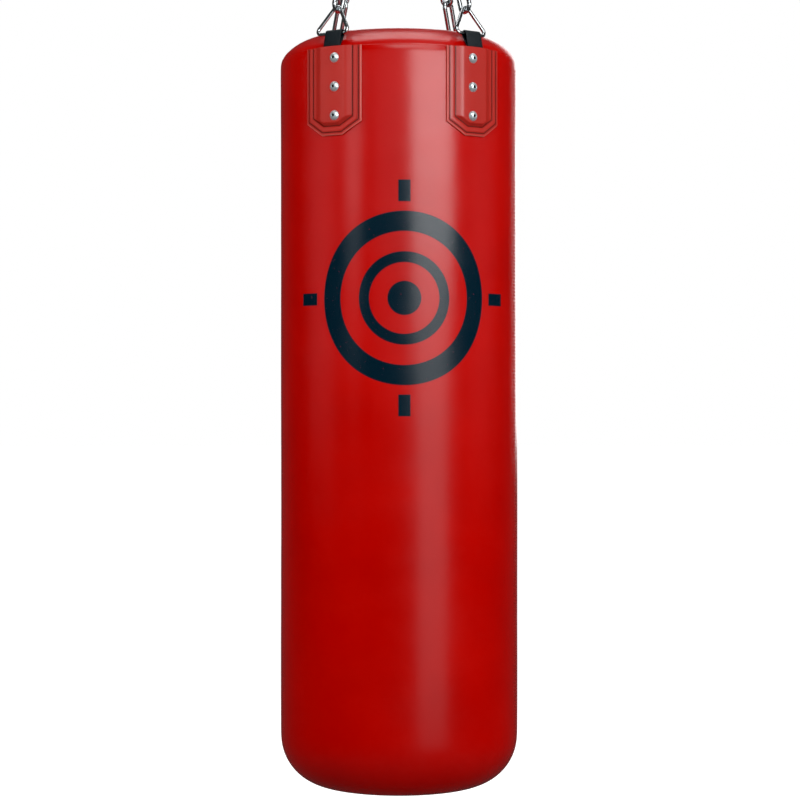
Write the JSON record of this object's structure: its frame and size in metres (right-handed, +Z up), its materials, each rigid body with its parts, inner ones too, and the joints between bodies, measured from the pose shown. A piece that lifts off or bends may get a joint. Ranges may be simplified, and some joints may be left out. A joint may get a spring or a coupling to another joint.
{
  "type": "heavy punching bag",
  "caption": "Hanging cylindrical leather punching bag on a chain bridle with snap hooks, riveted webbing straps, a zipped top and a ball-bearing swivel.",
  "frame": {"origin": "centre of the hanging eye's bore", "axes": "+Z up, the bag hangs below; -Y is the bag's printed front; +Y is along the hanging eye's bore"},
  "size_m": [0.32, 0.3198, 1.5649],
  "materials": {
    "forged_steel": "satin",
    "bearing_steel": "polished",
    "spring_steel": "satin",
    "seal_rubber": "matte",
    "zinc_steel": "satin",
    "bright_steel": "gloss",
    "red_leather": "satin",
    "patch_leather": "satin",
    "rivet_steel": "gloss",
    "black_webbing": "matte",
    "liner_canvas": "matte",
    "foam": "matte",
    "textile_fill": "matte",
    "zip_tape": "matte",
    "zip_teeth": "satin",
    "zip_metal": "satin"
  },
  "bodies": {
    "hanger": {"hanging_eye_bolt": "forged_steel", "eye_bolt_nut": "forged_steel", "cotter_pin": "spring_steel", "lower_race": "bearing_steel"},
    "ball_ring": {"bearing_balls": "bearing_steel"},
    "swivel": {"swivel_housing": "forged_steel", "upper_race": "bearing_steel", "dust_seal": "seal_rubber", "lower_eye": "forged_steel"},
    "ring": {"master_ring": "zinc_steel"},
    "gate_front_left": {"hook_gate_front_left": "bright_steel", "gate_spring_front_left": "spring_steel"},
    "gate_front_right": {"hook_gate_front_right": "bright_steel", "gate_spring_front_right": "spring_steel"},
    "gate_rear_left": {"hook_gate_rear_left": "bright_steel", "gate_spring_rear_left": "spring_steel"},
    "gate_rear_right": {"hook_gate_rear_right": "bright_steel", "gate_spring_rear_right": "spring_steel"},
    "slider": {"zip_slider": "zip_metal"},
    "pull": {"zip_pull": "zip_metal"},
    "bag": {"chain_front_left": "zinc_steel", "chain_front_right": "zinc_steel", "chain_rear_left": "zinc_steel", "chain_rear_right": "zinc_steel", "triangle_ring_front_left": "bright_steel", "triangle_ring_front_right": "bright_steel", "triangle_ring_rear_left": "bright_steel", "triangle_ring_rear_right": "bright_steel", "snap_hook_front_left": "bright_steel", "snap_hook_front_right": "bright_steel", "snap_hook_rear_left": "bright_steel", "snap_hook_rear_right": "bright_steel", "gate_pins": "spring_steel", "side_panel": "red_leather", "top_panel": "red_leather", "bottom_panel": "red_leather", "canvas_liner": "liner_canvas", "foam_wrap": "foam", "top_pad": "foam", "bottom_pad": "foam", "fill_core": "textile_fill", "zip_tape_rear": "zip_tape", "zip_tape_front": "zip_tape", "zip_teeth_rear": "zip_teeth", "zip_teeth_front": "zip_teeth", "strap_front_left": "black_webbing", "strap_patch_front_left": "patch_leather", "strap_front_right": "black_webbing", "strap_patch_front_right": "patch_leather", "strap_rear_left": "black_webbing", "strap_patch_rear_left": "patch_leather", "strap_rear_right": "black_webbing", "strap_patch_rear_right": "patch_leather", "strap_rivets": "rivet_steel", "rivet_washers": "rivet_steel"}
  },
  "joints": [
    {"name": "swivel_spin", "type": "hinge", "parent": "hanger", "child": "swivel", "pos_m": [0, 0, -0.0402], "axis": [0, 0, 1], "continuous": true},
    {"name": "ball_roll", "type": "hinge", "parent": "hanger", "child": "ball_ring", "pos_m": [0, 0, -0.0402], "axis": [0, 0, 1], "continuous": true},
    {"name": "ring_rock", "type": "hinge", "parent": "swivel", "child": "ring", "pos_m": [0, 0, -0.12259], "axis": [0, 1, 0], "range_deg": [-25, 25]},
    {"name": "bag_swing", "type": "hinge", "parent": "ring", "child": "bag", "pos_m": [0, 0, -0.13659], "axis": [1, 0, 0], "range_deg": [-35, 35]},
    {"name": "gate_front_left_open", "type": "hinge", "parent": "bag", "child": "gate_front_left", "pos_m": [-0.08803, -0.11727, -0.50436], "axis": [-0.8185, 0.5745, 0.0031], "range_deg": [0, 24], "stiffness_Nm_per_rad": 0.05, "springref_deg": -17.19},
    {"name": "gate_front_right_open", "type": "hinge", "parent": "bag", "child": "gate_front_right", "pos_m": [0.08525, -0.11981, -0.5043], "axis": [-0.8235, -0.5668, 0.0227], "range_deg": [0, 24], "stiffness_Nm_per_rad": 0.05, "springref_deg": -17.19},
    {"name": "gate_rear_left_open", "type": "hinge", "parent": "bag", "child": "gate_rear_left", "pos_m": [-0.08525, 0.11981, -0.5043], "axis": [0.8235, 0.5668, 0.0227], "range_deg": [0, 24], "stiffness_Nm_per_rad": 0.05, "springref_deg": -17.19},
    {"name": "gate_rear_right_open", "type": "hinge", "parent": "bag", "child": "gate_rear_right", "pos_m": [0.08436, 0.11983, -0.50436], "axis": [0.8207, -0.5713, -0.0075], "range_deg": [0, 24], "stiffness_Nm_per_rad": 0.05, "springref_deg": -17.19},
    {"name": "zip_slide", "type": "slide", "parent": "bag", "child": "slider", "axis": [1, 0, 0], "range_m": [0, 0.168]},
    {"name": "pull_flip", "type": "hinge", "parent": "slider", "child": "pull", "pos_m": [-0.084, 0, -0.53804], "axis": [0, -1, 0], "range_deg": [0, 170]}
  ],
  "couplings": [
    {"joint": "ball_roll", "follows": "swivel_spin", "ratio": 0.5}
  ]
}
